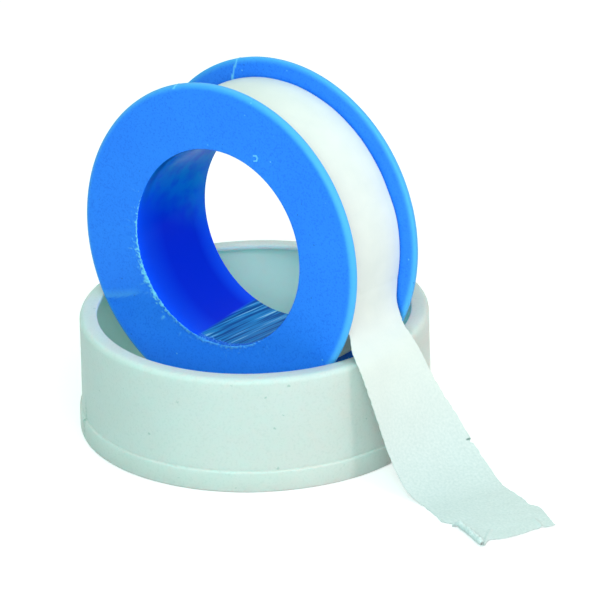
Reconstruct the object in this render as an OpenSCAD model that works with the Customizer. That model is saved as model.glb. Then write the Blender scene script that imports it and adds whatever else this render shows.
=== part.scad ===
// Thread seal tape roll: a spool of tape standing in the lipped end of its push-on cover ring.
// Millimetres. The cover ring stands on z = 0, centred on the origin, and the front is towards -Y.

/* [Tape] */
// Width of the tape
tape_w = 12.7; // [9:0.1:19]
// Thickness of the outer lap and of the free end
tape_t = 0.2; // [0.1:0.05:0.3]
// Depth of the tape wound on the hub under the outer lap
winding_depth = 5.3; // [2:0.1:9]
// Angle left open between the outer lap's two ends
lap_opening = 15; // [8:1:40]

/* [Spool] */
// Diameter of the bore through the hub
bore_d = 28.2; // [20:0.1:36]
// Wall of the hub
hub_wall = 1.2; // [0.8:0.1:2]
// Chamfer at each end of the bore
bore_edge = 0.3; // [0.1:0.05:0.6]
// Thickness of each flange
flange_t = 1.2; // [1:0.1:2]
// Height of the flanges above the wound tape
flange_rise = 2.7; // [1.5:0.1:5]
// Rounding of a flange's rim on its outer face
flange_edge = 0.8; // [0.3:0.1:0.9]
// Rounding of a flange's rim on the side of the tape
flange_inner_edge = 0.3; // [0.1:0.1:0.4]
// Play between the tape and each flange
tape_side_gap = 0.2; // [0.1:0.05:0.6]

/* [Cover ring] */
// Wall of the cover ring
cover_wall = 0.8; // [0.6:0.1:2]
// Play round the flanges when the cover is on
cover_fit = 0.1; // [0.05:0.05:0.5]
// Play along the spool between the lip and the snap ridge when the cover is on
end_play = 0.2; // [0.1:0.05:0.6]
// Thickness of the inward lip
lip_t = 0.6; // [0.5:0.1:2]
// How far the lip reaches in past a flange's rim
lip_catch = 1.6; // [0.8:0.1:3]
// Rounding of the lip's inner edge
lip_edge = 0.2; // [0.1:0.05:0.4]
// Rounding of the outer shoulder over the lip
shoulder = 0.8; // [0.3:0.1:0.8]
// Height of the proud band at the mouth
band_h = 3.2; // [2:0.1:6]
// How far the band stands out from the wall
band_proud = 0.35; // [0.2:0.05:0.8]
// Rounding at the foot of the band
foot_edge = 0.3; // [0.1:0.05:0.5]
// Height of the snap ridge inside the mouth
snap_h = 0.6; // [0.4:0.05:1]
// How far the snap ridge stands in from the wall
snap_rise = 0.25; // [0.15:0.05:0.3]

/* [Pose] */
// Turn of the spool's front face towards the left
turn_angle = 38; // [0:1:90]
// Lean of the spool backwards
lean_angle = 4; // [0:0.5:6]
// Play between the flanges and the lip that they stand on
seat_gap = 0.05; // [0:0.05:0.3]

/* [Free end] */
// Angle below the level at which the tape leaves the roll
leave_angle = 15; // [0:1:20]
// Length that still hangs straight before the tape bends out
leave_run = 3.4; // [2.5:0.1:5]
// Rounding of the bend there
leave_bend = 2.2; // [1:0.1:2.4]
// Play between the free end and the roll that it leaves
tail_gap = 0.3; // [0.2:0.05:0.6]
// Play between the free end and the rim that it lies over
rim_gap = 0.3; // [0.2:0.05:0.6]
// Distance from the cover ring's wall to where the tape lands
land_reach = 8.8; // [6:0.1:20]
// Rounding of the bend over the rim
rim_bend = 2.5; // [0.5:0.1:3]
// Rounding of the bend at the landing
land_bend = 8.5; // [2:0.1:9]
// Length that lies flat past the landing
lie_run = 22.3; // [12:0.1:60]
// Turn of that length towards the front
lie_turn = 23; // [0:1:40]

/* [Hidden] */
$fn = 96;
arc_steps = 5;
bend_steps = 6;
fall_steps = 7;
lap_steps = 24;

bore_r = bore_d / 2;
hub_r = bore_r + hub_wall;
core_r = hub_r + winding_depth;
wound_r = core_r + tape_t;
flange_r = wound_r + flange_rise;
gap_w = tape_w + 2 * tape_side_gap;
spool_w = gap_w + 2 * flange_t;
rim_edge = min(flange_edge, flange_t);
rim_inner_edge = min(flange_inner_edge, flange_t - rim_edge);

cover_in_r = flange_r + cover_fit;
cover_r = cover_in_r + cover_wall;
band_r = cover_r + band_proud;
lip_r = flange_r - lip_catch;
cover_h = lip_t + spool_w + end_play + snap_h;
shoulder_r = min(shoulder, cover_wall);

// Height of the spool's centre, at which both leaning flanges clear the lip's inner edge
catch_sq = flange_r * flange_r - lip_r * lip_r;
half_w = spool_w / 2;
seat_drop = sqrt(catch_sq + half_w * half_w);
seat_shift = seat_drop * sin(lean_angle);
half_level = half_w * cos(lean_angle);
half_lift = half_w * sin(lean_angle);
front_drop = cos(lean_angle) * sqrt(catch_sq + pow(half_level + seat_shift, 2));
rear_drop = cos(lean_angle) * sqrt(catch_sq + pow(half_level - seat_shift, 2));
spool_z = cover_h + max(front_drop - half_lift, rear_drop + half_lift) + seat_gap;

// Corners of the free end's route before the spool's turn: on the roll, past the bend, rim, landing, end
leave_r = wound_r + tail_gap + tape_t / 2;
leave_x = leave_r * cos(leave_angle);
leave_z = spool_z - leave_r * sin(leave_angle);
leave_at = in_roll(leave_x, leave_z);
bend_at = in_roll(leave_x - leave_run * sin(leave_angle), leave_z - leave_run * cos(leave_angle));
rim_at = in_roll(cover_r + rim_gap, cover_h + rim_gap);
land_at = in_roll(cover_r + land_reach, tape_t / 2);
end_at = land_at + lie_run * [cos(lie_turn), -sin(lie_turn), 0];

// A point in the plane that the leaning roll turns in
function in_roll(x, z) = [x, (z - spool_z) * tan(lean_angle), z];
function unit(v) = v / norm(v);
function clamp(k) = max(0, min(1, k));
function arc(centre, r, from, to) =
    [for (i = [0:arc_steps]) let (a = from + (to - from) * i / arc_steps) centre + r * [cos(a), sin(a)]];
function bend(a, p, b, r) =
    let (p0 = p + r * unit(a - p), p1 = p + r * unit(b - p))
    [for (i = [0:bend_steps]) let (k = i / bend_steps) pow(1 - k, 2) * p0 + 2 * k * (1 - k) * p + k * k * p1];
function run(a, b) = [for (i = [1:fall_steps]) a + (b - a) * i / (fall_steps + 1)];

// The lap's and the free end's points
leave_pts = bend(leave_at, bend_at, rim_at, leave_bend);
rim_pts = bend(bend_at, rim_at, land_at, rim_bend);
land_pts = bend(rim_at, land_at, end_at, land_bend);
fall_pts = run(rim_pts[bend_steps], land_pts[0]);
lie_pts = run(land_pts[bend_steps], end_at);
tail_pts = concat([leave_at], leave_pts, rim_pts, fall_pts, land_pts, lie_pts, [end_at]);
tail_last = len(tail_pts) - 1;

// Across the tape: along the leaning spool at the roll, level at the rim, then turning with the fall
function across(p) =
    let (lean = lean_angle * clamp((p[2] - rim_at[2]) / (bend_at[2] - rim_at[2])))
    let (turn = lie_turn * clamp(1 - p[2] / cover_h))
    [-sin(turn) * cos(lean), -cos(turn) * cos(lean), sin(lean)];
function along(i) = unit(tail_pts[min(i + 1, tail_last)] - tail_pts[max(i - 1, 0)]);
function section(i) =
    let (w = across(tail_pts[i]) * tape_w / 2, t = unit(cross(along(i), across(tail_pts[i]))) * tape_t / 2)
    [tail_pts[i] - w - t, tail_pts[i] + w - t, tail_pts[i] + w + t, tail_pts[i] - w + t];

lap_turn = 360 - lap_opening;
lap_start = -leave_angle - lap_opening - lap_turn;
lap_pts = [for (i = [0:lap_steps]) let (a = lap_start + lap_turn * i / lap_steps) wound_r * [cos(a), sin(a)]];
lap_gap = min([for (i = [0:lap_steps - 2]) for (j = [i + 2:lap_steps]) norm(lap_pts[i] - lap_pts[j])]);
tail_gaps = [for (i = [0:tail_last - 2]) for (j = [i + 2:tail_last]) norm(tail_pts[i] - tail_pts[j])];
echo(spool_centre = [0, 0, spool_z]);
echo(spool_axis = [-sin(turn_angle) * cos(lean_angle), -cos(turn_angle) * cos(lean_angle), sin(lean_angle)]);
echo(cover_h = cover_h, cover_r = cover_r, band_r = band_r, flange_r = flange_r, spool_w = spool_w);
echo(lap_least_gap = lap_gap, tail_least_gap = min(tail_gaps));

module on_spool() {
    translate([0, 0, spool_z]) rotate([90 - lean_angle, 0, -turn_angle]) children();
}

module cover_ring() {
    outline = concat(
        [[cover_in_r, 0]],
        arc([band_r - foot_edge, foot_edge], foot_edge, -90, 0),
        [[band_r, band_h - band_proud], [cover_r, band_h]],
        arc([cover_r - shoulder_r, cover_h - shoulder_r], shoulder_r, 0, 90),
        arc([lip_r + lip_edge, cover_h - lip_edge], lip_edge, 90, 180),
        [[lip_r, cover_h - lip_t], [cover_in_r, cover_h - lip_t]],
        [[cover_in_r, snap_h], [cover_in_r - snap_rise, snap_h / 2]]
    );
    color("#e6efe9") rotate_extrude() polygon(outline);
}

module spool() {
    rear = concat(
        [[bore_r, bore_edge - half_w], [bore_r + bore_edge, -half_w]],
        arc([flange_r - rim_edge, rim_edge - half_w], rim_edge, -90, 0),
        arc([flange_r - rim_inner_edge, flange_t - half_w - rim_inner_edge], rim_inner_edge, 0, 90),
        [[hub_r, flange_t - half_w]]
    );
    front = [for (i = [len(rear) - 1:-1:0]) [rear[i][0], -rear[i][1]]];
    color("#2f82ff") on_spool() rotate_extrude() polygon(concat(rear, front));
}

module tape_winding() {
    color("#f2f6f2") on_spool() translate([0, 0, -tape_w / 2]) difference() {
        cylinder(h = tape_w, r = core_r);
        translate([0, 0, -flange_t]) cylinder(h = tape_w + 2 * flange_t, r = hub_r);
    }
}

module tape_outer_turn() {
    color("#f2f6f2") on_spool() translate([0, 0, -tape_w / 2])
        rotate([0, 0, lap_start]) rotate_extrude(angle = lap_turn)
        translate([core_r, 0]) square([tape_t, tape_w]);
}

module tape_tail() {
    points = [for (i = [0:tail_last]) each section(i)];
    sides = [for (i = [0:tail_last - 1]) for (k = [0:3])
        let (a = 4 * i + k, b = 4 * i + (k + 1) % 4, c = b + 4, d = a + 4)
        each (k == 2 ? [[a, d, b], [b, d, c]] : [[a, c, b], [a, d, c]])];
    last = 4 * tail_last;
    ends = [[0, 1, 2], [0, 2, 3], [last, last + 2, last + 1], [last, last + 3, last + 2]];
    color("#f2f6f2") rotate([0, 0, -turn_angle]) polyhedron(points, concat(sides, ends));
}

cover_ring();
spool();
tape_winding();
tape_outer_turn();
tape_tail();
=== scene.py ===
import math
import random

import bmesh
import bpy
from mathutils import Matrix, Vector, noise


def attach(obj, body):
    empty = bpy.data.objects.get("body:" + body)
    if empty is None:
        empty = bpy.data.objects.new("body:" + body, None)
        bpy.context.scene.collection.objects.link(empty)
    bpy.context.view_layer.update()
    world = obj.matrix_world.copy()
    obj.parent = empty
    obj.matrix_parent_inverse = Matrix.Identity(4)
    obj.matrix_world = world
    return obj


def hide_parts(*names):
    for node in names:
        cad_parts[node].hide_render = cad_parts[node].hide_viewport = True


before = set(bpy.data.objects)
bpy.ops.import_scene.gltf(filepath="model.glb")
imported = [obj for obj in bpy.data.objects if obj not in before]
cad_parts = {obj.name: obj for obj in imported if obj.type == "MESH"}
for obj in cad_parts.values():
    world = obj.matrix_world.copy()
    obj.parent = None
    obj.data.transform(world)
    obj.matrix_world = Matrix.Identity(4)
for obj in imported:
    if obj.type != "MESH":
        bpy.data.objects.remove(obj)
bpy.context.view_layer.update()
scene = bpy.context.scene
mm = 0.001
print("frame loaded:", ", ".join(sorted(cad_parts)))


# small tools

def linear(hexColour):  # sRGB hex to linear, with alpha
    parts = [int(hexColour[i:i + 2], 16) / 255 for i in (1, 3, 5)]
    return [c / 12.92 if c <= 0.04045 else ((c + 0.055) / 1.055) ** 2.4 for c in parts] + [1.0]


def startNodes(owner):  # an empty node tree for a material or the world
    owner.use_nodes = True
    owner.node_tree.nodes.clear()
    return owner, owner.node_tree


# gives the node's outputs; a colour Mix has its amount on 0, its colours on 6 and 7, and its result on 2
def addNode(tree, kind, inputs=None, **settings):
    made = tree.nodes.new("ShaderNode" + kind)
    for key, value in settings.items():
        setattr(made, key, value)
    for key, value in (inputs or {}).items():
        if isinstance(value, bpy.types.NodeSocket):
            tree.links.new(value, made.inputs[key])
        else:
            made.inputs[key].default_value = value
    return made.outputs


def endMaterial(tree, s, colour, roughFrom, bump):  # what every plastic and film ends with
    rough = addNode(tree, "MapRange", {"Value": roughFrom, **s["rough"]})[0]
    shader = addNode(tree, "BsdfPrincipled", {"Base Color": colour, "Roughness": rough, "Normal": bump,
                                              **s["finish"]})[0]
    addNode(tree, "OutputMaterial", {"Surface": shader})


def clamp(value):  # kept between 0 and 1
    return min(1, max(0, value))


def ease(low, high, value):  # 0 below low, 1 above high, smooth between
    k = clamp((value - low) / (high - low))
    return k * k * (3 - 2 * k)


def lookUp(rows, at, column):  # straight lines between the rows of a table
    if at <= rows[0][0]:
        return rows[0][column]
    for a, b in zip(rows, rows[1:]):
        if at <= b[0]:
            return a[column] + (b[column] - a[column]) * (at - a[0]) / (b[0] - a[0])
    return rows[-1][column]


def waves(rows, along, across):  # layers of noise: height, waves along and across per mm, and a seed
    return sum(tall * noise.noise((along * long, across * wide, seed)) for tall, long, wide, seed in rows)


def polar(v):  # radius in mm, angle in degrees, height in mm
    return math.hypot(v.co.x, v.co.y) / mm, math.degrees(math.atan2(v.co.y, v.co.x)), v.co.z / mm


# lengths in mm, the crease in degrees
meshing = {"merge": 0.002, "near": 0.01, "segments": 4, "largeFrom": 0.5, "largeSegments": 6, "crease": 35}


def revolve(corners, steps):  # corners: radius, height and rounding in mm, in order round the section
    s = meshing
    bm = bmesh.new()
    verts = [bm.verts.new((r * mm, 0, z * mm)) for r, z, _ in corners]
    edges = [bm.edges.new((a, b)) for a, b in zip(verts, verts[1:] + verts[:1])]
    bmesh.ops.spin(bm, geom=verts + edges, axis=(0, 0, 1), cent=(0, 0, 0), steps=steps, angle=math.tau,
                   use_merge=True)
    bmesh.ops.remove_doubles(bm, verts=bm.verts, dist=s["merge"] * mm)
    bmesh.ops.recalc_face_normals(bm, faces=bm.faces)
    for r, z, rounding in corners:
        if rounding:
            near = {v for v in bm.verts
                    if math.hypot(math.hypot(v.co.x, v.co.y) - r * mm, v.co.z - z * mm) < s["near"] * mm}
            loop = [e for e in bm.edges if e.verts[0] in near and e.verts[1] in near]
            segments = s["largeSegments"] if rounding > s["largeFrom"] else s["segments"]
            bmesh.ops.bevel(bm, geom=loop, offset=rounding * mm, offset_type="OFFSET", segments=segments,
                            profile=0.5, material=-1, affect="EDGES")
    bm.normal_update()
    return bm


def addObject(name, data):
    made = bpy.data.objects.new(name, data)
    scene.collection.objects.link(made)
    return made


def addMesh(name, bm, materials):
    mesh = bpy.data.meshes.new(name)
    bm.to_mesh(mesh)
    bm.free()
    for material in materials:
        mesh.materials.append(material)
    return addObject(name, mesh)


def finishPiece(name, bm, place, materials, body, nodes):
    bm.transform(place)
    bm.normal_update()
    for face in bm.faces:
        face.smooth = True
    for edge in bm.edges:
        edge.smooth = len(edge.link_faces) == 2 and edge.calc_face_angle() < math.radians(meshing["crease"])
    piece = addMesh(name, bm, materials)
    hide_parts(*nodes)
    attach(piece, body)
    print(name, len(piece.data.polygons), "faces")
    return piece


# camera, at the photo's angle: lens and lengths in mm, clip in metres, angles in radians

photoCamera = {"lens": 813.23, "sensor": 36, "clip": (0.1, 20), "distance": 1889.416, "down": 0.418104,
               "roll": -0.028488, "target": (6.435, 0, 18.0107)}


def makeCamera():
    s = photoCamera
    look = Vector((0, math.cos(s["down"]), -math.sin(s["down"])))
    level = Vector((0, math.sin(s["down"]), math.cos(s["down"])))
    right = Vector((1, 0, 0)) * math.cos(s["roll"]) + level * math.sin(s["roll"])
    axes = Matrix((right, right.cross(look), -look)).transposed().to_4x4()
    spot = (Vector(s["target"]) - look * s["distance"]) * mm
    data = bpy.data.cameras.new("camera")
    data.lens = s["lens"]
    data.sensor_width = s["sensor"]
    data.clip_start, data.clip_end = s["clip"]
    camera = addObject("camera", data)
    camera.matrix_world = Matrix.Translation(spot) @ axes
    scene.camera = camera
    print("camera set")


# the spool's place: it stands in the ring's lip, turned to the left and leaning back

spoolPose = {"height": 28.4471, "turn": 38, "lean": 4}
spoolTurn = (math.radians(90 - spoolPose["lean"]), 0, math.radians(-spoolPose["turn"]))
spoolPlace = (Matrix.Translation((0, 0, spoolPose["height"] * mm))
              @ Matrix.Rotation(spoolTurn[2], 4, "Z") @ Matrix.Rotation(spoolTurn[0], 4, "X"))


# blue polypropylene, moulded: even satin colour, a painted highlight on the rims, a few pale nibs and specks
# of dirt
# in each material's settings, sizes and places are in mm, and a node's own settings go by Blender's names
# the mould's spark-eroded grain is finer than this: drawn coarse enough to show

bluePlastic = {
    # the rim colour is a painted highlight
    "face": "#2680ff", "flow": "#308cff", "pit": "#1c71f2", "rim": "#58bdf6", "dirt": "#0c50be",
    "burrAndHighlight": "#7cd6ff", "flowSize": 9.0, "grainSize": 0.28, "nibGap": 1.9, "nibsOver": 0.58, "dirtUnder": 0.4,
    "pits": {"From Min": 0.52, "From Max": 0.3, "To Max": 0.7},
    "rimHighlight": {"From Min": 22.5, "From Max": 23.5, "To Max": 0.75},
    "nibs": {"From Min": 0.085, "From Max": 0.034, "To Max": 0.6},
    "rough": {"To Min": 0.42, "To Max": 0.52},
    "bump": {"Strength": 0.35, "Distance": 0.02 * mm},
    "finish": {"IOR": 1.49, "Specular IOR Level": 0.2},
}


def spoolCoords(tree):  # the spool's own axes, in mm
    coords = addNode(tree, "TexCoord")["Object"]
    return addNode(tree, "Mapping", {"Vector": coords, "Location": (0, 0, spoolPose["height"] * mm),
                                     "Rotation": spoolTurn, "Scale": (mm, mm, mm)}, vector_type="TEXTURE")[0]


def makeBluePlastic():
    s = bluePlastic
    material, tree = startNodes(bpy.data.materials.new("bluePolypropylene"))
    at = spoolCoords(tree)
    level = addNode(tree, "VectorMath", {0: at, 1: (1, 1, 0)}, operation="MULTIPLY")[0]
    radius = addNode(tree, "VectorMath", {0: level}, operation="LENGTH")["Value"]
    # painted highlight: the rims are painted paler where they catch the light
    rimHighlight = addNode(tree, "MapRange", {"Value": radius, **s["rimHighlight"]}, interpolation_type="SMOOTHSTEP")[0]
    flow = addNode(tree, "TexNoise", {"Vector": at, "Scale": 1 / s["flowSize"], "Detail": 3.0})[0]
    grain = addNode(tree, "TexNoise", {"Vector": at, "Scale": 1 / s["grainSize"], "Detail": 2.0})[0]
    pits = addNode(tree, "MapRange", {"Value": grain, **s["pits"]})[0]
    # pale nibs in some of the cells, specks of dirt in others
    cells = addNode(tree, "TexVoronoi", {"Vector": at, "Scale": 1 / s["nibGap"]})
    nibs = addNode(tree, "MapRange", {"Value": cells["Distance"], **s["nibs"]})[0]
    some = addNode(tree, "Math", {0: cells["Color"], 1: s["nibsOver"]}, operation="GREATER_THAN")[0]
    few = addNode(tree, "Math", {0: cells["Color"], 1: s["dirtUnder"]}, operation="LESS_THAN")[0]
    dirt = addNode(tree, "Math", {0: nibs, 1: few}, operation="MULTIPLY")[0]
    # burr and painted highlight are marked on the mesh: flash, parting line and sliver as burr, and a painted
    # highlight along the weld line's upper side
    burrAndHighlight = addNode(tree, "Attribute", attribute_name="burrAndHighlight")["Fac"]
    pale = addNode(tree, "Math", {0: nibs, 1: some, 2: burrAndHighlight}, operation="MULTIPLY_ADD", use_clamp=True)[0]
    colour = linear(s["face"])
    for amount, name in ((flow, "flow"), (pits, "pit"), (rimHighlight, "rim"), (dirt, "dirt"), (pale, "burrAndHighlight")):
        colour = addNode(tree, "Mix", {0: amount, 6: colour, 7: linear(s[name])}, data_type="RGBA")[2]
    bump = addNode(tree, "Bump", {"Height": grain, **s["bump"]})[0]
    endMaterial(tree, s, colour, flow, bump)
    return material


# the same plastic, polished by the mould's core, with light painted into its colour: deeper blue as painted
# shade down the bore, brighter at its ends as painted light, painted reflections along its top and foot, and
# a painted shadow under the front edge
# a strip's start and end: degrees round the bore at the rear and the front, and softness, negative at its end

boreFinishPaintedLight = {
    # colours in order: painted shade down the bore, painted light towards its ends, a painted reflection
    # along the top, a painted shadow under the front edge, a painted reflection along the foot, the foot's
    # scoring as dark and pale streaks in that reflection, then the crumbs
    "deepShade": "#0030e2", "edge": "#0c54ff", "top": "#0098ea", "shade": "#0a4494", "footReflection": "#2c92d4",
    "dark": "#08509c", "mark": "#a4dcf0", "crumb": "#2468de", "crumbPale": "#62b0f4",
    "streakSize": 0.3, "streakSlow": 0.025, "reflectionNoiseSize": 2.0, "crumbSize": 0.3, "crumbReach": 2.4,
    "topStrip": ((95, 100, 14), (184, 152, -24)), "footStrip": ((250, 257, 1.5), (312, 312, -8)),
    "fore": {"From Min": 2.0, "From Max": 7.5},
    "aft": {"From Min": -4.5, "From Max": -7.3},
    "topReflection": {"From Min": 0.3, "From Max": 0.6, "To Min": 0.55},
    "under": {"From Min": 5.6, "From Max": 6.8, "To Max": 0.8},
    "scored": {"From Min": 0.52, "From Max": 0.4},
    "paleStreaks": {"From Min": 0.59, "From Max": 0.67, "To Max": 0.9},
    "broken": {"From Min": 7.8, "From Max": 8.2},
    "flecks": {"From Min": 0.5, "From Max": 0.7},
    "rough": {"To Min": 0.16, "To Max": 0.34},
    "bump": {"Strength": 0.15, "Distance": 0.02 * mm},
    "finish": {"IOR": 1.49, "Specular IOR Level": 0.015},
}


def makeBoreFinishPaintedLight():
    s = boreFinishPaintedLight
    material, tree = startNodes(bpy.data.materials.new("bluePolypropylenePolishedPaintedLight"))
    at = spoolCoords(tree)
    x, y, z = addNode(tree, "SeparateXYZ", {0: at})
    slow = addNode(tree, "VectorMath", {0: at, 1: (1, 1, s["streakSlow"])}, operation="MULTIPLY")[0]
    streak = addNode(tree, "TexNoise", {"Vector": slow, "Scale": 1 / s["streakSize"], "Detail": 2.0})[0]
    reflectionNoise = addNode(tree, "TexNoise", {"Vector": at, "Scale": 1 / s["reflectionNoiseSize"], "Detail": 2.0})[0]
    crumb = addNode(tree, "TexNoise", {"Vector": at, "Scale": 1 / s["crumbSize"], "Detail": 2.0})[0]
    # degrees round the bore, from 0 to 360
    turn = addNode(tree, "Math", {0: y, 1: x}, operation="ARCTAN2")[0]
    turn = addNode(tree, "Math", {0: turn}, operation="DEGREES")[0]
    turn = addNode(tree, "Math", {0: turn, 1: 0.0, 2: 360.0}, operation="WRAP")[0]
    half = spool["half"]
    strips = []
    for strip in (s["topStrip"], s["footStrip"]):
        sides = []
        for rear, front, soft in strip:
            side = addNode(tree, "MapRange", {"Value": z, "From Min": -half, "From Max": half,
                                              "To Min": rear, "To Max": front})[0]
            past = addNode(tree, "Math", {0: turn, 1: side}, operation="SUBTRACT")[0]
            sides.append(addNode(tree, "MapRange", {"Value": past, "From Min": -soft, "From Max": soft},
                                 interpolation_type="SMOOTHSTEP")[0])
        strips.append(addNode(tree, "Math", {0: sides[0], 1: sides[1]}, operation="MULTIPLY")[0])
    onTop, onFoot = strips
    # painted light: brighter towards both ends
    fore = addNode(tree, "MapRange", {"Value": z, **s["fore"]})[0]
    aft = addNode(tree, "MapRange", {"Value": z, **s["aft"]})[0]
    litEnds = addNode(tree, "Math", {0: fore, 1: aft}, operation="MAXIMUM")[0]
    # the top strip holds a painted reflection, broken up by noise, with a painted shadow of the edge over its
    # front end
    topReflection = addNode(tree, "MapRange", {"Value": reflectionNoise, **s["topReflection"]})[0]
    topReflection = addNode(tree, "Math", {0: onTop, 1: topReflection}, operation="MULTIPLY")[0]
    under = addNode(tree, "MapRange", {"Value": z, **s["under"]}, interpolation_type="SMOOTHSTEP")[0]
    under = addNode(tree, "Math", {0: under, 1: onTop}, operation="MULTIPLY")[0]
    # the foot strip holds a painted reflection, its axial scoring showing in it as dark and pale streaks, and
    # breaks up into crumbs short of the bore's front edge
    scored = addNode(tree, "MapRange", {"Value": streak, **s["scored"]})[0]
    paleStreaks = addNode(tree, "MapRange", {"Value": streak, **s["paleStreaks"]})[0]
    broken = addNode(tree, "Math", {0: crumb, 1: s["crumbReach"], 2: z}, operation="MULTIPLY_ADD")[0]
    broken = addNode(tree, "MapRange", {"Value": broken, **s["broken"]})[0]
    flecks = addNode(tree, "MapRange", {"Value": crumb, **s["flecks"]})[0]
    crumbs = addNode(tree, "Mix", {0: flecks, 6: linear(s["crumb"]), 7: linear(s["crumbPale"])},
                     data_type="RGBA")[2]
    foot = linear(s["footReflection"])
    for amount, over in ((scored, linear(s["dark"])), (paleStreaks, linear(s["mark"])), (broken, crumbs)):
        foot = addNode(tree, "Mix", {0: amount, 6: foot, 7: over}, data_type="RGBA")[2]
    # painted shade: the deep blue underneath, with the painted light, reflections and shadow laid over it
    colour = linear(s["deepShade"])
    for amount, over in ((litEnds, linear(s["edge"])), (topReflection, linear(s["top"])), (under, linear(s["shade"])),
                         (onFoot, foot)):
        colour = addNode(tree, "Mix", {0: amount, 6: colour, 7: over}, data_type="RGBA")[2]
    bump = addNode(tree, "Bump", {"Height": streak, **s["bump"]})[0]
    endMaterial(tree, s, colour, onFoot, bump)
    return material


# the spool: two flanges on an open hub, with a parting line, flash round the bore and a faint weld line
# parting: radius, degrees; flash: degrees, width, paleness; weld: radius and degrees at its start and end
# flashCrumbs and faceWaves: height, waves per mm both ways, seed; the sliver's points are on the front face

spool = {
    "bore": 14.1, "hub": 15.3, "flange": 23.5, "half": 7.75, "gap": 6.55, "rim": 0.8, "rimInner": 0.3,
    "boreEdge": 0.25, "hubEdge": 0.2, "polishedTo": 14.2, "steps": 600,
    "faceRings": (14.45, 14.58, 14.72, 14.86, 15.0, 15.15, 15.3, 15.5, 16.4, 17.6, 19, 20.6, 22),
    "innerRings": (16.4, 18, 19.6, 20.9, 21.3, 21.7, 22.1, 22.5, 22.9), "boreRings": (6, 4, 2, 0, -2, -4, -6),
    "parting": [(20.8, 115.2), (23.5, 109.9)], "partingFrom": 15, "partingShort": 0.1, "partingWide": 0.16,
    "partingRise": 0.05, "partingPale": 0.8,
    "flash": [(-202, 0, 1), (-188, 0.45, 1), (-175, 0.6, 1), (-165, 0.9, 1), (-156, 1.3, 1), (-138, 1.4, 1),
              (-124, 0.8, 0.75), (-105, 0.8, 0.4), (-70, 0.8, 0.4), (-52, 0, 0.4)],
    "flashAt": 14.2, "flashTo": 15.6, "flashDeep": 0.4, "flashFade": (14.1, 14.15),
    "flashCrumbs": [(0.5, 1.3, 1.3, 3), (0.9, 3.2, 3.2, 8)], "flashTall": 0.7, "flashFall": 0.8,
    "flashThin": 0.4, "flashRise": 0.2, "flashSwell": 0.03, "flashPale": (0.1, 0.5),
    "weld": (16.0, -142.6, 22.9, -148.3), "weldWithin": (-170, -120), "weldDepth": 0.05, "weldStep": (0.5, 6),
    "weldHighlight": 0.28, "weldFade": (0, 4), "weldGrows": (15.5, 19),
    "faceSkin": 0.02, "wave": 0.03, "waveSink": 0.5, "faceWaves": [(0.5, 1 / 7, 1 / 7, 2)],
    "sliver": [(5.95, 15.1), (6.45, 15.22), (6.8, 14.85), (6.66, 14.35), (6.1, 14.2)],
    "sliverSunk": 0.05, "sliverTall": 0.2, "sliverThick": 0.17, "sliverPale": 0.8,
}


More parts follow.
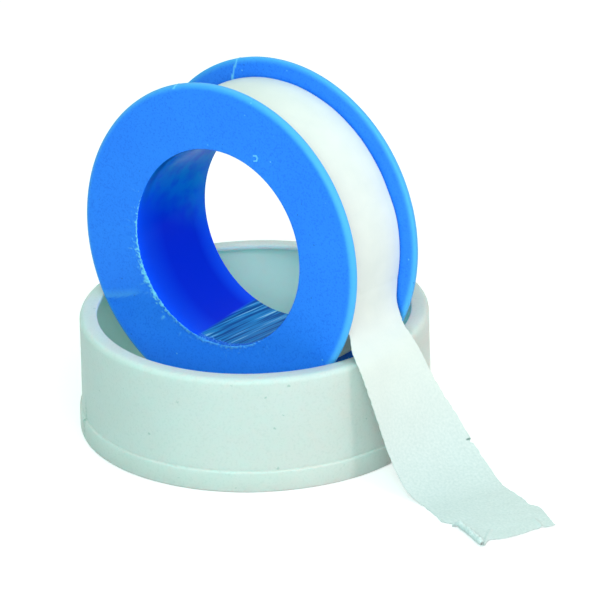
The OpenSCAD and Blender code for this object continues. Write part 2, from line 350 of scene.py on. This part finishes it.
def makeSpool(materials):
    s = spool
    corners = [(s["bore"], -s["half"], s["boreEdge"])]
    corners += [(r, -s["half"], 0) for r in s["faceRings"]]
    corners += [(s["flange"], -s["half"], s["rim"]), (s["flange"], -s["gap"], s["rimInner"])]
    corners += [(r, -s["gap"], 0) for r in reversed(s["innerRings"])]
    corners += [(s["hub"], -s["gap"], s["hubEdge"])]
    corners += [(r, -z, rounding) for r, z, rounding in reversed(corners)]  # the front half mirrors the rear
    corners += [(s["bore"], z, 0) for z in s["boreRings"]]
    bm = revolve(corners, s["steps"])
    burrAndHighlight = bm.verts.layers.float.new("burrAndHighlight")
    for v in bm.verts:
        r, angle, z = polar(v)
        move = Vector((0, 0, 0))
        # parting line over the rims, the hub and, aslant, the flanges' inner faces
        off = abs((angle - lookUp(s["parting"], r, 1) + 90) % 180 - 90)
        onLine = off * r * math.radians(1) < s["partingWide"]
        if onLine and r > s["partingFrom"] and abs(z) < s["half"] - s["partingShort"]:
            move += v.normal * s["partingRise"] * mm
            v[burrAndHighlight] = s["partingPale"]
        # crumbs of flash along the bore's front edge
        if z > s["half"] - s["flashDeep"] and r < s["flashTo"]:
            turned = angle if angle < 0 else angle - 360
            wide, pale = lookUp(s["flash"], turned, 1), lookUp(s["flash"], turned, 2)
            if wide:
                crumb = waves(s["flashCrumbs"], math.radians(angle) * s["flashAt"], r)
                start, end = s["flashFade"]
                fade = ease(start, end + wide, r)
                rise = max(0, s["flashTall"] - fade * s["flashFall"] + crumb) * (1 - fade * s["flashThin"])
                move += Vector((0, 0, s["flashRise"] * mm * rise)) + v.normal * s["flashSwell"] * mm * rise
                v[burrAndHighlight] = max(v[burrAndHighlight], pale * ease(*s["flashPale"], rise))
        # weld line across the front face, a small step with a painted highlight above it, and a faint wave
        # over the face
        if z > s["half"] - s["faceSkin"]:
            r0, a0, r1, a1 = s["weld"]
            lowest, highest = s["weldWithin"]
            if r0 < r < r1 and lowest < angle < highest:
                past = angle - a0 - (a1 - a0) * (r - r0) / (r1 - r0)
                if past > 0:
                    move.z -= s["weldDepth"] * mm * (1 - ease(*s["weldStep"], past))
                else:
                    fade = (1 - ease(*s["weldFade"], -past)) * ease(*s["weldGrows"], r)
                    v[burrAndHighlight] = max(v[burrAndHighlight], s["weldHighlight"] * fade)
            move.z -= s["wave"] * mm * (s["waveSink"] + waves(s["faceWaves"], v.co.x / mm, v.co.y / mm))
        v.co += move
    # a hooked sliver of plastic left on the face
    base = [bm.verts.new((x * mm, y * mm, (s["half"] - s["sliverSunk"]) * mm)) for x, y in s["sliver"]]
    wall = bmesh.ops.extrude_edge_only(bm, edges=[bm.edges.new(pair) for pair in zip(base, base[1:])])["geom"]
    top = [g for g in wall if isinstance(g, bmesh.types.BMVert)]
    bmesh.ops.translate(bm, verts=top, vec=(0, 0, s["sliverTall"] * mm))
    faces = [g for g in wall if isinstance(g, bmesh.types.BMFace)]
    bmesh.ops.recalc_face_normals(bm, faces=faces)
    thick = bmesh.ops.solidify(bm, geom=faces, thickness=s["sliverThick"] * mm)["geom"]
    for v in base + top + [g for g in thick if isinstance(g, bmesh.types.BMVert)]:
        v[burrAndHighlight] = s["sliverPale"]
    # the bore's wall gets the polished plastic with its painted light
    for face in bm.faces:  # the bore's wall is the polished one
        face.material_index = int(all(polar(v)[0] < s["polishedTo"] for v in face.verts))
    return finishPiece("spoolBody", bm, spoolPlace, materials, "reel", ["spool"])


# natural polyethylene, moulded: milky pale green, soft gloss, a few dark specks, one upright dark mark and
# painted light inside
# the upright dark mark: degrees, radius, lowest and highest point

milkyPlastic = {
    # the inside colour is painted light, for light that came through the wall
    "body": "#dbded9", "cloud": "#d3d8d2", "pit": "#c9d0ca", "inside": "#e2fbea", "speck": "#8fb0a4",
    "cloudSize": 7.0, "grainSize": 0.35, "raggedSize": 0.25, "ragged": (0.5, 0.9, 0.3), "speckGap": 2.6,
    "specksOver": 0.62, "darkMark": (-168.5, 24.6, 1.8, 5.8), "darkMarkWide": 1.0,
    "specks": {"From Min": 0.1, "From Max": 0.05, "To Max": 0.6},
    "darkMarked": {"From Min": 1.05, "From Max": 0.35},
    "flecks": {"From Min": 0.42, "From Max": 0.62},
    "pits": {"From Min": 0.5, "From Max": 0.2, "To Max": 0.6},
    "within": {"From Min": 23.95, "From Max": 23.75},
    "below": {"From Min": 16.85, "From Max": 16.6, "To Max": 0.85},
    "rough": {"To Min": 0.36, "To Max": 0.5},
    "bump": {"Strength": 0.25, "Distance": 0.02 * mm},
    "finish": {"IOR": 1.51, "Specular IOR Level": 0.18, "Subsurface Weight": 0.8,
               "Subsurface Radius": (0.35, 1, 0.95), "Subsurface Scale": 1.6 * mm},
}


def makeMilkyPlastic():
    s = milkyPlastic
    material, tree = startNodes(bpy.data.materials.new("naturalPolyethylene"))
    coords = addNode(tree, "TexCoord")["Object"]  # in metres, and then in mm
    at = addNode(tree, "Mapping", {"Vector": coords, "Scale": (mm, mm, mm)}, vector_type="TEXTURE")[0]
    cloud = addNode(tree, "TexNoise", {"Vector": at, "Scale": 1 / s["cloudSize"], "Detail": 4.0})[0]
    grain = addNode(tree, "TexNoise", {"Vector": at, "Scale": 1 / s["grainSize"], "Detail": 2.0})[0]
    pits = addNode(tree, "MapRange", {"Value": grain, **s["pits"]})[0]
    # specks with ragged outlines, in some of the cells
    ragged = addNode(tree, "TexNoise", {"Vector": at, "Scale": 1 / s["raggedSize"]})["Color"]
    ragged = addNode(tree, "VectorMath", {0: ragged, 1: s["ragged"], 2: at}, operation="MULTIPLY_ADD")[0]
    cells = addNode(tree, "TexVoronoi", {"Vector": ragged, "Scale": 1 / s["speckGap"]})
    specks = addNode(tree, "MapRange", {"Value": cells["Distance"], **s["specks"]})[0]
    chosen = addNode(tree, "Math", {0: cells["Color"], 1: s["specksOver"]}, operation="GREATER_THAN")[0]
    specks = addNode(tree, "Math", {0: specks, 1: chosen}, operation="MULTIPLY")[0]
    # one upright dark mark across the band's edge, broken into flecks
    angle, out, low, high = s["darkMark"]
    middle = (out * math.cos(math.radians(angle)), out * math.sin(math.radians(angle)), (low + high) / 2)
    squeeze = (1, 1, s["darkMarkWide"] / (high - low))
    off = addNode(tree, "VectorMath", {0: ragged, 1: middle}, operation="SUBTRACT")[0]
    off = addNode(tree, "VectorMath", {0: off, 1: squeeze}, operation="MULTIPLY")[0]
    off = addNode(tree, "VectorMath", {0: off}, operation="LENGTH")["Value"]
    darkMarked = addNode(tree, "MapRange", {"Value": off, **s["darkMarked"]})[0]
    flecks = addNode(tree, "MapRange", {"Value": grain, **s["flecks"]})[0]
    darkMarked = addNode(tree, "Math", {0: darkMarked, 1: flecks}, operation="MULTIPLY")[0]
    marks = addNode(tree, "Math", {0: specks, 1: darkMarked}, operation="MAXIMUM")[0]
    # painted light: the inside is painted greener and lighter, for light that came through the wall
    level = addNode(tree, "VectorMath", {0: at, 1: (1, 1, 0)}, operation="MULTIPLY")[0]
    radius = addNode(tree, "VectorMath", {0: level}, operation="LENGTH")["Value"]
    height = addNode(tree, "SeparateXYZ", {0: at})[2]
    within = addNode(tree, "MapRange", {"Value": radius, **s["within"]})[0]
    below = addNode(tree, "MapRange", {"Value": height, **s["below"]})[0]
    inside = addNode(tree, "Math", {0: within, 1: below}, operation="MULTIPLY")[0]
    colour = linear(s["body"])
    for amount, name in ((cloud, "cloud"), (pits, "pit"), (inside, "inside"), (marks, "speck")):
        colour = addNode(tree, "Mix", {0: amount, 6: colour, 7: linear(s[name])}, data_type="RGBA")[2]
    bump = addNode(tree, "Bump", {"Height": grain, **s["bump"]})[0]
    endMaterial(tree, s, colour, cloud, bump)
    return material


# the cover ring: a short tube, mouth down, with an inward lip on top and a proud band at the mouth

ring = {
    "wall": 24.4, "inside": 23.6, "band": 24.75, "lip": 21.9, "height": 16.9, "lipThick": 0.6,
    "bandHeight": 3.2, "bandStep": 0.15, "bandEdge": 0.14, "bandRoot": 0.06, "foot": 0.3, "shoulder": 0.8,
    "lipEdge": 0.2, "lipRoot": 0.2, "snap": 0.25, "snapHeight": 0.6, "snapRoot": 0.08, "smallEdge": 0.1,
    "wallRings": (6, 9, 12, 14.5), "insideRings": (12, 8, 4, 1.2), "steps": 480,
    "wave": 0.03, "waveRound": 2, "waveTall": 9, "waveSink": 0.5,
}


def makeRing(material):
    s = ring
    under = s["height"] - s["lipThick"]
    corners = [(s["inside"], 0, s["smallEdge"]), (s["band"], 0, s["foot"]),
               (s["band"], s["bandHeight"] - s["bandStep"], s["bandEdge"]),
               (s["wall"], s["bandHeight"], s["bandRoot"])]
    corners += [(s["wall"], z, 0) for z in s["wallRings"]]
    corners += [(s["wall"], s["height"], s["shoulder"]), (s["lip"], s["height"], s["lipEdge"]),
                (s["lip"], under, s["smallEdge"]), (s["inside"], under, s["lipRoot"])]
    corners += [(s["inside"], z, 0) for z in s["insideRings"]]
    corners += [(s["inside"], s["snapHeight"], s["snapRoot"]),
                (s["inside"] - s["snap"], s["snapHeight"] / 2, s["smallEdge"])]
    bm = revolve(corners, s["steps"])
    for v in bm.verts:  # moulded walls are never quite true
        _, angle, z = polar(v)
        turn = math.radians(angle)
        spot = (math.cos(turn) * s["waveRound"], math.sin(turn) * s["waveRound"], z / s["waveTall"])
        v.co += v.normal * s["wave"] * mm * (noise.noise(spot) - s["waveSink"])
    return finishPiece("coverRing", bm, Matrix(), [material], "cover", ["cover_ring"])


# unsintered fluoropolymer film: soft waxy white, drawn lines along its length, faint clouding

whiteFilm = {
    # the single colours are the free end's, darker partly as painted shade
    "wound": "#f2f0ea", "woundShade": "#ecebe6", "single": "#dbdfde", "singleShade": "#cbd3d2",
    # dirt here is the colour of the painted shadow by the nick
    "dirt": "#5d7d76", "drawnSize": 0.45, "drawnSlow": 0.05, "cloudSize": 4.0, "cloudShare": 0.85,
    "fleckSize": 0.4, "nickShadowAt": (34.0, -6.3, 0), "nickShadowSqueeze": (1, 0.4, 1),
    "shade": {"From Min": 0.35, "From Max": 0.7},
    "flecks": {"From Min": 0.3, "From Max": 0.7},
    "nickShadow": {"From Min": 0.2, "From Max": 0.1},
    "rough": {"To Min": 0.5, "To Max": 0.62},
    "ripple": {"Strength": 0.25, "Distance": 0.12 * mm},
    "bump": {"Strength": 0.1, "Distance": 0.03 * mm},
    "finish": {"IOR": 1.35, "Specular IOR Level": 0.35},
}


def makeWhiteFilm():
    s = whiteFilm
    material, tree = startNodes(bpy.data.materials.new("whiteSealFilm"))
    at = addNode(tree, "UVMap", uv_map="film")[0]  # the film's own map: along and across, in mm
    slow = addNode(tree, "VectorMath", {0: at, 1: (s["drawnSlow"], 1, 1)}, operation="MULTIPLY")[0]
    drawn = addNode(tree, "TexNoise", {"Vector": slow, "Scale": 1 / s["drawnSize"], "Detail": 3.0})[0]
    cloud = addNode(tree, "TexNoise", {"Vector": at, "Scale": 1 / s["cloudSize"], "Detail": 5.0})[0]
    shade = addNode(tree, "Mix", {0: s["cloudShare"], 2: drawn, 3: cloud})[0]
    shade = addNode(tree, "MapRange", {"Value": shade, **s["shade"]})[0]
    wound = addNode(tree, "Mix", {0: shade, 6: linear(s["wound"]), 7: linear(s["woundShade"])},
                    data_type="RGBA")[2]
    # a single layer lets the table show in small flecks
    flecks = addNode(tree, "TexNoise", {"Vector": at, "Scale": 1 / s["fleckSize"], "Detail": 4.0})[0]
    flecks = addNode(tree, "MapRange", {"Value": flecks, **s["flecks"]})[0]
    # painted shadow: a dark spot by the nick in the free end's rear edge, for the shadow of its torn edge
    off = addNode(tree, "VectorMath", {0: at, 1: s["nickShadowAt"]}, operation="SUBTRACT")[0]
    off = addNode(tree, "VectorMath", {0: off, 1: s["nickShadowSqueeze"]}, operation="MULTIPLY")[0]
    off = addNode(tree, "VectorMath", {0: off}, operation="LENGTH")["Value"]
    nickShadow = addNode(tree, "MapRange", {"Value": off, **s["nickShadow"]})[0]
    # layers is 1 on the roll and falls to 0 along the free end, where the colours are darker, partly for its
    # thin single layer and partly as painted shade
    layers = addNode(tree, "Attribute", attribute_name="layers")["Fac"]
    colour = linear(s["single"])
    for amount, over in ((flecks, linear(s["singleShade"])), (nickShadow, linear(s["dirt"])), (layers, wound)):
        colour = addNode(tree, "Mix", {0: amount, 6: colour, 7: over}, data_type="RGBA")[2]
    ripple = addNode(tree, "Bump", {"Height": cloud, **s["ripple"]})[0]
    bump = addNode(tree, "Bump", {"Height": drawn, "Normal": ripple, **s["bump"]})[0]
    endMaterial(tree, s, colour, cloud, bump)
    return material


# the wound tape: laps that wander a little at their edges, under a smooth outer lap

roll = {
    "hub": 15.34, "outer": 20.8, "half": 6.35, "steps": 360, "topRings": (-5.6, -4, -2, 0, 2, 4, 5.6),
    "crown": 0.01, "edgeDrop": 0.02, "edge": 0.05, "hubShort": 0.1,
    "laps": 22, "wander": 0.09, "leastWander": 0.15, "wanderSeed": 4,
    "skin": 0.1, "uneven": 0.02, "unevenRound": 2.2, "unevenWide": 5, "unevenSink": 0.6,
    "sideSkin": 0.3, "sideWander": 0.05, "sideRound": 5, "sideOften": 3,
}


def makeRoll(material):
    s = roll
    chance = random.Random(s["wanderSeed"])
    radii = [s["hub"] + (s["outer"] - s["hub"]) * (i + 0.5) / s["laps"] for i in range(s["laps"])]
    low = [(r, -s["half"] + s["wander"] * (s["leastWander"] + chance.random()), 0) for r in radii]
    high = [(r, s["half"] - s["wander"] * (s["leastWander"] + chance.random()), 0) for r in reversed(radii)]
    top = [(s["outer"] - s["crown"] * abs(z) / s["half"], z, 0) for z in s["topRings"]]
    edge = s["outer"] - s["edgeDrop"]
    corners = [(s["hub"], -s["half"] + s["hubShort"], 0)] + low + [(edge, -s["half"], s["edge"])] + top
    corners += [(edge, s["half"], s["edge"])] + high + [(s["hub"], s["half"] - s["hubShort"], 0)]
    bm = revolve(corners, s["steps"])
    layers = bm.verts.layers.float.new("layers")
    for v in bm.verts:
        r, angle, z = polar(v)
        across, up = math.cos(math.radians(angle)), math.sin(math.radians(angle))
        if r > s["outer"] - s["skin"]:
            spot = (across * s["unevenRound"], up * s["unevenRound"], z / s["unevenWide"])
            v.co += v.normal * s["uneven"] * mm * (noise.noise(spot) - s["unevenSink"])
        if abs(z) > s["half"] - s["sideSkin"]:  # the lap edges wander round the roll too
            spot = (across * s["sideRound"], up * s["sideRound"], r * s["sideOften"])
            v.co.z -= math.copysign(1, z) * s["sideWander"] * mm * (1 + noise.noise(spot))
        v[layers] = 1
    filmMap = bm.loops.layers.uv.new("film")
    for face in bm.faces:
        middle = face.calc_center_median()
        centre = math.atan2(middle.y, middle.x)
        for loop in face.loops:
            r, angle, z = polar(loop.vert)
            turn = (math.radians(angle) - centre + math.pi) % math.tau - math.pi + centre
            onSide = abs(z) >= s["half"] - s["sideSkin"]
            loop[filmMap].uv = (turn * s["outer"], math.copysign(s["half"], z) + r if onSide else z)
    return finishPiece("tapeRoll", bm, spoolPlace, [material], "reel",
                       ["tape_winding", "tape_outer_turn"])


# the free end: off the roll, over the ring's rim and down on to the table, torn across at its tip
# bend, rim and land: out from the roll, up, and reach of the rounding, before the spool's turn
# edges: along, front and rear; curlStart: along, across; nick: along, depth, half width
# creases: along and across at their start and end; tip: across, along
# lengths in mm, wrap and lieTurn in degrees; any other pair is where a change starts and where it is complete

tail = {
    "wrap": (26, -10), "wrapRadius": 20.93, "sunk": 0.19, "sunkOver": (0, 14), "lead": 3.64,
    "bend": (20.6, 19.9, 3.0), "rim": (24.55, 17.2, 1.8), "land": (33.2, 0.06, 8.5),
    "lie": 22.3, "lieTurn": 23, "bendSteps": 20, "rows": 420, "columns": 90, "step": 0.35, "leanOver": 2.8,
    "thick": 0.1, "feather": 0.06, "singleOver": (10, 40),
    "edges": [(0, 6.32, -6.32), (10, 6.32, -6.32), (12.5, 6.0, -6.15), (14.5, 5.4, -6.1), (15.2, 5.65, -5.9),
              (16, 6.25, -5.55), (17, 6.8, -5.2), (18, 7.25, -5.0), (19, 7.45, -4.95), (21.5, 7.3, -5.05),
              (24, 7.1, -5.2), (27, 6.85, -5.6), (30, 6.65, -6.35), (34, 6.65, -6.75), (38.5, 6.85, -6.75),
              (41, 6.6, -6.5), (43, 6.3, -6.3), (46, 6.4, -6.4), (48.7, 6.8, -6.4), (49.3, 6.5, -6.35),
              (50.4, 5.7, -6.1), (51.5, 7.1, -6.95), (53, 7.3, -6.9), (56, 7.7, -6.2), (60, 8.2, -5.4)],
    "nick": (34.4, 0.5, 0.35),
    "torn": [(0.13, 1.1, 3, 5), (0.14, 3.6, 3, 9)], "tornOver": (10, 16), "tornEdge": 9,
    "tip": [(-5.9, 0.05), (-5.2, -0.05), (-4.3, -0.4), (-3.9, -0.6), (-2.0, -0.45), (0.3, -0.15), (1.7, -0.2),
            (3.0, -0.5), (4.2, -1.0), (5.0, -0.5), (5.6, 0.25), (8, 0.3)],
    "tipTorn": [(0.2, 1.7, 2, 1), (0.16, 5, 4, 1)], "tipBack": 0.2, "tipOver": (0.86, 1),
    "cup": 0.28, "cupOver": (15, 24), "cupOut": (36, 44), "lieOver": (41, 47),
    "ripple": 0.10, "ripples": [(0.10, 1 / 3.2, 1 / 5, 3), (0.06, 1 / 1.3, 1 / 2.2, 8)],
    "slack": [(0.10, 1 / 6, 1 / 4, 6)], "slackOver": (18, 24),
    "creases": [(55.2, -4.24, 58.1, -3.84), (54.7, 2.5, 57.7, 5.1)], "creaseTall": 0.16, "creaseWide": 0.4,
    "curl": 0.42, "curlStart": [(51, 5.5), (55, 5.75), (59, 6.1)], "curlOver": (50.9, 51.6),
    "curlLeast": 0.05, "curlWaves": [(0.55, 1.1, 1, 7), (0.25, 3.1, 1, 4)],
    "cornerLift": 0.5, "cornerAlong": (57.5, 60), "cornerAcross": (-3.5, -6),
}


def inRoll(out, height):  # a point in the plane that the leaning roll turns in
    return Vector((out, (height - spoolPose["height"]) * math.tan(math.radians(spoolPose["lean"])), height))


def tailRoute():
    s = tail
    turn = math.radians(s["lieTurn"])
    first, last = s["wrap"]
    route = []
    for i in range(first - last + 1):
        a = math.radians(first - i)
        r = s["wrapRadius"] - s["sunk"] * (1 - ease(*s["sunkOver"], i))  # its start sinks into the lap below
        route.append(inRoll(r * math.cos(a), spoolPose["height"] + r * math.sin(a)))
    bends = (s["bend"], s["rim"], s["land"])
    corners = [route[-1]] + [inRoll(x, z) for x, z, _ in bends]
    corners.append(corners[-1] + Vector((math.cos(turn), -math.sin(turn), 0)) * s["lie"])
    for before, corner, after, (_, _, reach) in zip(corners, corners[1:], corners[2:], bends):
        a = corner + (before - corner).normalized() * reach
        b = corner + (after - corner).normalized() * reach
        for i in range(s["bendSteps"] + 1):
            k = i / s["bendSteps"]
            route.append(a.lerp(corner, k).lerp(corner.lerp(b, k), k))
    route.append(corners[-1])
    lengths = [-s["lead"]]
    for a, b in zip(route, route[1:]):
        lengths.append(lengths[-1] + (b - a).length)
    return route, lengths


def makeTail(material):
    s = tail
    route, lengths = tailRoute()
    first, last = lengths[0], lengths[-1]
    tiny = 1e-9

    def routeAt(d):
        d = min(max(d, first), last)
        i = next(k for k in range(1, len(lengths)) if d <= lengths[k] + tiny)
        return route[i - 1].lerp(route[i], (d - lengths[i - 1]) / max(tiny, lengths[i] - lengths[i - 1]))

    bm = bmesh.new()
    bmesh.ops.create_grid(bm, x_segments=s["rows"], y_segments=s["columns"], size=1)
    filmMap = bm.loops.layers.uv.new("film")
    feather = bm.verts.layers.deform.new()
    layers = bm.verts.layers.float.new("layers")
    laidAt = {}
    for v in bm.verts:
        k, across = (v.co.x + 1) / 2, v.co.y
        flat = first + k * (last - first)
        front, rear = lookUp(s["edges"], flat, 1), lookUp(s["edges"], flat, 2)
        nickAt, nickDeep, nickHalf = s["nick"]
        rear += nickDeep * max(0, 1 - abs(flat - nickAt) / nickHalf)
        torn = waves(s["torn"], flat, across) * across ** s["tornEdge"] * ease(*s["tornOver"], flat)
        wide = (front + rear) / 2 + across * (front - rear) / 2 + torn
        # the torn tip pulls the last few millimetres in or out
        tip = lookUp(s["tip"], wide, 1) + waves(s["tipTorn"], wide, 1)
        d = flat + (tip - s["tipBack"]) * ease(*s["tipOver"], k)
        p = routeAt(d)
        along = (routeAt(d + s["step"]) - routeAt(d - s["step"])).normalized()
        lean = math.radians(spoolPose["lean"]) * clamp((p.z - s["rim"][1]) / s["leanOver"])
        turn = math.radians(s["lieTurn"]) * clamp(1 - p.z / ring["height"])
        over = Vector((-math.sin(turn) * math.cos(lean), -math.cos(turn) * math.cos(lean), math.sin(lean)))
        out = over.cross(along).normalized()
        # soft unevenness: none on the roll, cupped on the fall, ripples where it lies
        lying = ease(*s["lieOver"], d)
        lift = s["cup"] * (across * across) * ease(*s["cupOver"], d) * (1 - ease(*s["cupOut"], d))
        lift += lying * (s["ripple"] + waves(s["ripples"], d, wide))
        lift += waves(s["slack"], d, wide) * ease(*s["slackOver"], d) * (1 - lying)
        for d0, w0, d1, w1 in s["creases"]:  # sharp little folds near the tip
            run, offset = Vector((d1 - d0, w1 - w0)), Vector((d - d0, wide - w0))
            nearest = run * clamp(run.dot(offset) / run.length_squared)
            lift += s["creaseTall"] * (1 - ease(0, s["creaseWide"], (offset - nearest).length))
        # the front edge curls up and over towards the tip
        rolled = ease(*s["curlOver"], d)
        start = lookUp(s["curlStart"], d, 1)
        beside = wide
        if rolled and wide > start:
            radius = s["curl"] * (1 + waves(s["curlWaves"], d, 1))
            swing = (wide - start) / radius * rolled
            opened = radius / max(rolled, s["curlLeast"])
            beside = start + opened * math.sin(swing)
            lift += opened * (1 - math.cos(swing))
        # and the rear corner of the tip stands up a little
        lift += s["cornerLift"] * ease(*s["cornerAlong"], d) * ease(*s["cornerAcross"], wide)
        v.co = (p + over * beside + out * lift) * mm
        v[feather][0] = s["feather"] + (1 - s["feather"]) * ease(first, 0, flat)
        v[layers] = 1 - ease(*s["singleOver"], flat)
        laidAt[v] = (flat, wide)
    for face in bm.faces:
        for loop in face.loops:
            loop[filmMap].uv = laidAt[loop.vert]
    bmesh.ops.recalc_face_normals(bm, faces=bm.faces)
    place = Matrix.Rotation(math.radians(-spoolPose["turn"]), 4, "Z")
    piece = finishPiece("tapeTail", bm, place, [material], "tape_end", ["tape_tail"])
    piece.vertex_groups.new(name="feather")
    thickness = piece.modifiers.new("filmThickness", "SOLIDIFY")
    thickness.thickness = s["thick"] * mm
    thickness.offset = 0
    thickness.vertex_group = "feather"
    thickness.use_even_offset = False
    return piece


# studio: pale floor, one soft key from the right, dim cool light from all round
# each lamp: watts, size and distance in metres, the way it comes from, and its colour

studio = {
    "lamps": {"key": (0.67, 0.05, 0.6, (0.70, -0.55, 0.45), "#ffe7eb"),
              "fill": (0.63, 0.2, 0.3, (-0.12, -0.84, 0.54), "#d8f6f6"),
              "rear": (0.5, 0.3, 0.6, (-0.3, 0.6, 0.74), "#fff0da")},
    "aim": (0.008, -0.008, 0.02), "left": 0.16, "right": 0.45, "overhead": 0.82, "overheadFrom": 0.25,
    "cool": "#90eae0", "plain": "#fff8f2", "background": "#ffffff", "floor": "#dddbda", "floorGlow": 0.5,
    "floorHalf": 3, "floorDrop": 0.02 * mm,
}


def seenPlain(tree):  # 1 for what the camera sees, also in gloss and through clear things
    ray = addNode(tree, "LightPath")
    seen = ray["Is Camera Ray"]
    for kind in ("Is Glossy Ray", "Is Transmission Ray"):
        seen = addNode(tree, "Math", {0: seen, 1: ray[kind]}, operation="MAXIMUM")[0]
    return seen


def makeBackground():
    s = studio
    world, tree = startNodes(bpy.data.worlds.new("studioLight"))
    way = addNode(tree, "TexCoord")["Generated"]
    x, _, z = addNode(tree, "SeparateXYZ", {0: way})
    across = addNode(tree, "MapRange", {"Value": x, "From Min": -1, "From Max": 1})[0]
    side = addNode(tree, "MapRange", {"Value": across, "To Min": s["left"], "To Max": s["right"]})[0]
    above = addNode(tree, "MapRange", {"Value": z, "From Min": s["overheadFrom"], "From Max": 1,
                                       "To Max": s["overhead"]})[0]
    strength = addNode(tree, "Math", {0: side, 1: above}, operation="ADD")[0]
    tint = addNode(tree, "Mix", {0: across, 6: linear(s["cool"]), 7: linear(s["plain"])}, data_type="RGBA")[2]
    soft = addNode(tree, "Background", {"Color": tint, "Strength": strength})[0]
    white = addNode(tree, "Background", {"Color": linear(s["background"]), "Strength": 1.0})[0]
    both = addNode(tree, "MixShader", {0: seenPlain(tree), 1: soft, 2: white})[0]
    addNode(tree, "OutputWorld", {"Surface": both})
    scene.world = world


def makeFloor():
    s = studio
    material, tree = startNodes(bpy.data.materials.new("mattWhitePaper"))
    glow = addNode(tree, "Math", {0: seenPlain(tree), 1: s["floorGlow"]}, operation="MULTIPLY")[0]
    paper = addNode(tree, "BsdfDiffuse", {"Color": linear(s["floor"])})[0]
    light = addNode(tree, "Emission", {"Strength": glow})[0]
    both = addNode(tree, "AddShader", {0: paper, 1: light})[0]
    addNode(tree, "OutputMaterial", {"Surface": both})
    bm = bmesh.new()
    bmesh.ops.create_grid(bm, x_segments=1, y_segments=1, size=s["floorHalf"])
    bmesh.ops.translate(bm, verts=bm.verts, vec=(0, 0, -s["floorDrop"]))
    floor = addMesh("floor", bm, [material])


def makeLamps():
    s = studio
    for name, (watts, size, distance, way, tint) in s["lamps"].items():
        lamp = bpy.data.lights.new(name, "AREA")
        lamp.energy = watts
        lamp.size = size
        lamp.color = linear(tint)[:3]
        toLamp = Vector(way).normalized()
        light = addObject(name, lamp)
        light.location = Vector(s["aim"]) + toLamp * distance
        light.rotation_mode = "QUATERNION"
        light.rotation_quaternion = toLamp.to_track_quat("Z", "Y")
    print("studio lit")


scene.view_settings.view_transform = "Standard"
makeCamera()
makeBackground()
makeFloor()
makeLamps()
makeSpool([makeBluePlastic(), makeBoreFinishPaintedLight()])
makeRing(makeMilkyPlastic())
sealFilm = makeWhiteFilm()
makeRoll(sealFilm)
makeTail(sealFilm)
